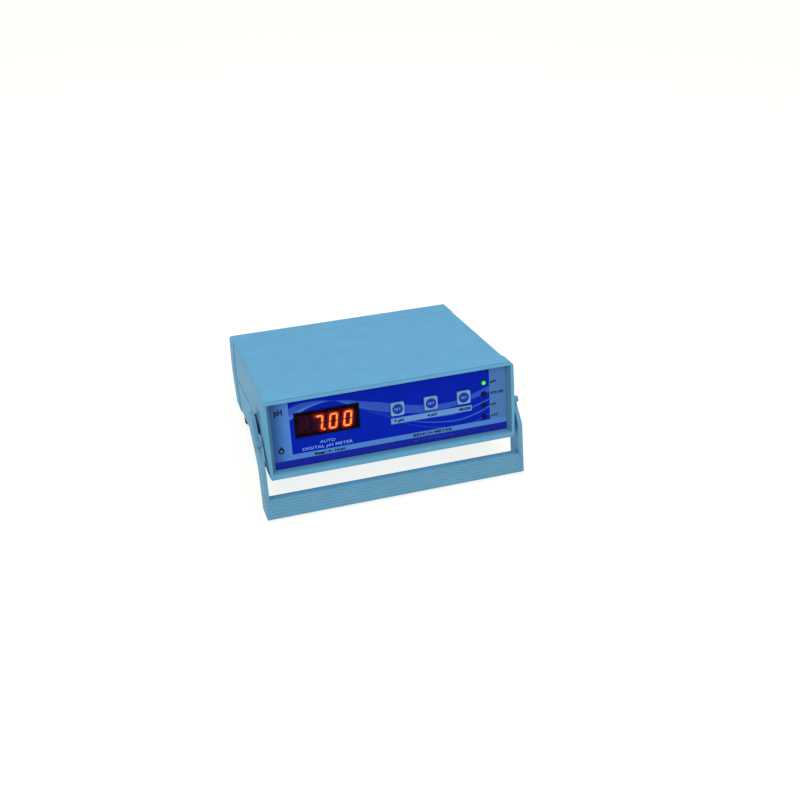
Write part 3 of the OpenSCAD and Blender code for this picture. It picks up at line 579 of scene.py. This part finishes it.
PRINT_FRONT = FILM_Y - PRINT_T
PRINT_BACK = FILM_Y + 0.01
INK_Y = FILM_Y - PRINT_T * 1.5
FIELDS = (                   # name, sides, lower and upper edges, material
    ("light_band", (-FILM_X, FILM_X), (STRIPE_Z[1], FIELD_Z[0]), "light_print"),
    ("left_column", (-FILM_X, FIELD_X[0]), FIELD_Z, "light_print"),
    ("right_column", (FIELD_X[1], FILM_X), FIELD_Z, "right_print"),
    ("dark_stripe", (-FILM_X, FILM_X), STRIPE_Z, "stripe_print"),
    ("label_strip", LABEL_X, LABEL_Z, "label_print"),
)
LAMP_LABELS = (("ph", "pH", 5.2), ("std_by", "STD BY", 13.0), ("mv", "mV", 5.6), ("atc", "ATC", 7.0))
FILM_TEXTS = (               # name, words, x, z, width, height, ink, bold, centred
    ("label_seven", "7 pH", 1.6, 32.9, 8.6, 2.3, "dark_ink", 0.18, False),
    ("label_four", "4 pH", 31.6, 32.9, 8.6, 2.3, "dark_ink", 0.18, False),
    ("label_mode", "MODE", 61.2, 32.9, 10.2, 2.3, "dark_ink", 0.18, False),
    *[("label_" + name, words, COLUMN_TEXT_X, z - 1.2, width, 2.3, "dark_ink", 0.16, False)
      for (name, words, width), z in zip(LAMP_LABELS, LED_Z)],
    ("title_auto", "AUTO", -58.3, 25.9, 13.2, 2.7, "pale_ink", 0.02, True),
    ("title_meter", "DIGITAL pH METER", -58.4, 21.5, 44.0, 2.8, "pale_ink", 0.02, True),
    ("range_line", "Range : 0 - 14 pH", -70.5, 16.1, 27.0, 2.0, "dark_ink", 0.2, False),
    ("maker_line", "BENCH METER", 18.0, 15.9, 36.0, 2.8, "dark_ink", 0.11, False),
    ("small_line", "pH  mV  TEMPERATURE", 18.0, 11.2, 37.0, 1.8, "dim_ink", 0.03, False),
    ("corner_mark", "pH", -101.9, 57.6, 7.2, 5.2, "dark_ink", 0.3, False),
)


def build_print():
    for name, x, z, material in FIELDS:
        plate("print_" + name, box_outline(x, z), PRINT_FRONT, PRINT_BACK, "case", material)
    for name, words, x, z, width, height, ink, bold, centred in FILM_TEXTS:
        lettering(name, words, (x, INK_Y, z), (width, height), "case", ink, bold, centred)
    plate("drop_mark", drop_outline(-98.6, 24.6, 2.6, 7.0), PRINT_FRONT - PRINT_T, PRINT_BACK, "case",
          "dark_ink")
    plate("drop_mark_inner", circle_outline(-98.6, 24.4, 1.3, 24), PRINT_FRONT - 2 * PRINT_T, PRINT_BACK,
          "case", "light_print")


# ---- Lettering on the rear panel ----

REAR_Y = 178.0
REAR_TEXT_Z = 57.0
REAR_TEXTS = (               # name, words, x, width
    ("electrode", "ELECTRODE", 72, 17.0),
    ("temp", "TEMP", 42, 8.0),
    ("fuse", "FUSE", -4, 8.0),
    ("mains", "MAINS", -34, 9.5),
    ("230", "230 V ~ 50 Hz", -68, 22.0),
)


def build_rear_print():
    for name, words, x, width in REAR_TEXTS:
        lettering("rear_label_" + name, words, (x, REAR_Y + PRINT_T, REAR_TEXT_Z), (width, 2.6), "case",
                  "white_ink", 0.05, centred=True, rear=True)


# ---- Keys ----

def build_keys():
    for word, x in zip(KEY_WORDS, KEY_X):
        body = "key_" + word
        plate("key_disc_" + word, circle_outline(x, KEY_Z, KEY_DISC_R), KEY_FACE_Y - 0.05,
              KEY_FACE_Y + 0.02, body, "key_disc")
        lettering("key_text_" + word, "SET", (x, KEY_FACE_Y - 0.08, KEY_Z - 1.1), (5.8, 2.2), body,
                  "pale_ink", centred=True)


# ---- Display ----

def bar(start, end):
    """A pointed bar between two points, a little short of both."""
    (x1, z1), (x2, z2) = start, end
    t = SEGMENT_T / 2
    length = math.hypot(x2 - x1, z2 - z1)
    ux, uz = (x2 - x1) / length, (z2 - z1) / length
    nx, nz = -uz, ux
    x1, z1 = x1 + ux * SEGMENT_GAP, z1 + uz * SEGMENT_GAP
    x2, z2 = x2 - ux * SEGMENT_GAP, z2 - uz * SEGMENT_GAP
    return [(x1, z1), (x1 + (ux + nx) * t, z1 + (uz + nz) * t), (x2 - (ux - nx) * t, z2 - (uz - nz) * t),
            (x2, z2), (x2 - (ux + nx) * t, z2 - (uz + nz) * t), (x1 + (ux - nx) * t, z1 + (uz - nz) * t)]


def segment_shapes():
    """Outline of each bar of a digit round its own centre, before it is slanted."""
    w, h = DIGIT_W / 2 - SEGMENT_T / 2, DIGIT_H / 2 - SEGMENT_T / 2
    return {"a": bar((-w, h), (w, h)), "b": bar((w, h), (w, 0)), "c": bar((w, 0), (w, -h)),
            "d": bar((-w, -h), (w, -h)), "e": bar((-w, 0), (-w, -h)), "f": bar((-w, h), (-w, 0)),
            "g": bar((-w, 0), (w, 0))}


def slanted(points, x):
    return [(x + px + pz * SLANT, DIGIT_Z + pz) for px, pz in points]


def distance(px, pz, a, b):
    """From a point to the line between a and b."""
    ax, az = a
    bx, bz = b
    run = (bx - ax) ** 2 + (bz - az) ** 2
    t = max(0.0, min(1.0, ((px - ax) * (bx - ax) + (pz - az) * (bz - az)) / run)) if run else 0.0
    return math.hypot(px - ax - t * (bx - ax), pz - az - t * (bz - az))


def glow_colour(near):
    """Light spilled on a digit's face at a distance in mm from the nearest lit bar."""
    close = math.exp(-(near / 1.5) ** 2)
    wide = math.exp(-near / 4.0)
    return (0.75 * close + 0.055 * wide, 0.035 * close, 0.012 * wide, 1.0)


def glow_face(index, x, lit, dot):
    """The digit's face as a fine grid whose colours fade away from the lit bars."""
    name = f"digit_{index + 1}_face"
    (half_w, half_h), (across, up) = FACE_HALF, FACE_GRID
    cores = [(shape[0], shape[3]) for shape in lit] + ([(dot, dot)] if dot else [])
    verts, colours = [], []
    for j in range(up + 1):
        for i in range(across + 1):
            px = x - half_w + 2 * half_w * i / across
            pz = DIGIT_Z - half_h + 2 * half_h * j / up
            verts.append((px, DIGIT_FACE_Y - 0.05, pz))
            colours.append(glow_colour(min([distance(px, pz, a, b) for a, b in cores] + [99.0])))
    row = across + 1
    faces = [(j * row + i, j * row + i + 1, (j + 1) * row + i + 1, (j + 1) * row + i)
             for j in range(up) for i in range(across)]
    mesh = bpy.data.meshes.new(name)
    mesh.from_pydata(verts, [], faces)
    attribute = mesh.color_attributes.new("glow", "FLOAT_COLOR", "POINT")
    for spot, colour in zip(attribute.data, colours):
        spot.color = colour
    mesh.transform(CASE)
    finish_piece(name, mesh, "case", "glow")


def display_bar(name, outline, lit):
    plate(name, outline, DIGIT_FACE_Y - (BAR_LIT if lit else BAR_OFF), DIGIT_FACE_Y - BAR_BACK, "case",
          "segment_lit" if lit else "segment_off")


def build_display():
    shapes = segment_shapes()
    for index, (x, sign) in enumerate(zip(DIGIT_X, READING)):
        on, pointed = SEGMENTS.get(sign[0], ""), "." in sign
        outlines = {key: slanted(shape, x) for key, shape in shapes.items()}
        dot = slanted([(DIGIT_W / 2 + 1.5, -DIGIT_H / 2 + 0.8)], x)[0]
        glow_face(index, x, [outlines[key] for key in on], dot if pointed else None)
        for key, outline in outlines.items():
            display_bar(f"digit_{index + 1}_bar_{key}", outline, key in on)
        display_bar(f"digit_{index + 1}_point", circle_outline(*dot, POINT_R, 24), pointed)


# ---- Stage, lights and camera ----

LIGHTS = (                   # name, place, aim, size, power, colour
    ("overhead", (0, 0.1, 2.0), (0, 0.1, 0), (2.0, 2.0), 26, (0.95, 0.99, 1.0)),
    ("key", (-0.1, -1.1, 1.3), (0, 0, 0.05), (1.5, 1.0), 6, (1.0, 0.98, 0.9)),
)
SKY = (0.96, 0.99, 1.0, 1)
SKY_STRENGTH = 0.42
FLOOR_COLOUR = (0.3, 0.3, 0.31, 1)
FLOOR_GLOW = (1.0, 0.985, 0.91, 1.0)
FLOOR_STRENGTH = 0.8
CAMERA_EYE = Vector((-226.68, -838.09, 426.41))      # in the case's frame, millimetres
CAMERA_RIGHT = Vector((0.95513, -0.29077, -0.05643))
CAMERA_DOWN = Vector((-0.16418, -0.36118, -0.91793))
CAMERA_LENS = 49.905
CAMERA_SENSOR = 36.0


def build_stage():
    floor = bpy.data.meshes.new("floor")
    floor.from_pydata([(-4, -3, 0), (4, -3, 0), (4, 6, 0), (-4, 6, 0)], [], [(0, 1, 2, 3)])
    piece = bpy.data.objects.new("floor", floor)
    bpy.context.scene.collection.objects.link(piece)
    g = Graph("floor_paper")
    g.set(Base_Color=mottled(g, FLOOR_COLOUR, 0.01, 3), Roughness=0.9, Specular_IOR_Level=0.1,
          Emission_Color=FLOOR_GLOW, Emission_Strength=FLOOR_STRENGTH)
    floor.materials.append(g.material)
    world = bpy.data.worlds.new("studio")
    bpy.context.scene.world = world
    world.use_nodes = True
    sky = world.node_tree.nodes["Background"]
    sky.inputs["Color"].default_value = SKY
    sky.inputs["Strength"].default_value = SKY_STRENGTH


def build_lights():
    for name, spot, aim, size, power, colour in LIGHTS:
        light = bpy.data.lights.new(name, "AREA")
        light.shape = "RECTANGLE"
        light.size, light.size_y = size
        light.energy = power
        light.color = colour
        piece = bpy.data.objects.new(name, light)
        bpy.context.scene.collection.objects.link(piece)
        piece.location = spot
        piece.rotation_euler = (Vector(aim) - Vector(spot)).to_track_quat("-Z", "Y").to_euler()


def build_camera():
    axes = (CAMERA_RIGHT, -CAMERA_DOWN, -CAMERA_RIGHT.cross(CAMERA_DOWN))
    turn = Matrix(axes).transposed().to_4x4()
    data = bpy.data.cameras.new("camera")
    data.sensor_width = CAMERA_SENSOR
    data.lens = CAMERA_LENS
    camera = bpy.data.objects.new("camera", data)
    bpy.context.scene.collection.objects.link(camera)
    camera.matrix_world = Matrix.Translation(CASE @ CAMERA_EYE) @ TURN @ turn
    bpy.context.scene.camera = camera


bpy.context.scene.view_settings.view_transform = "Standard"
build_camera()
dress_nodes()
round_off()
build_print()
build_rear_print()
build_keys()
build_display()
build_stage()
build_lights()
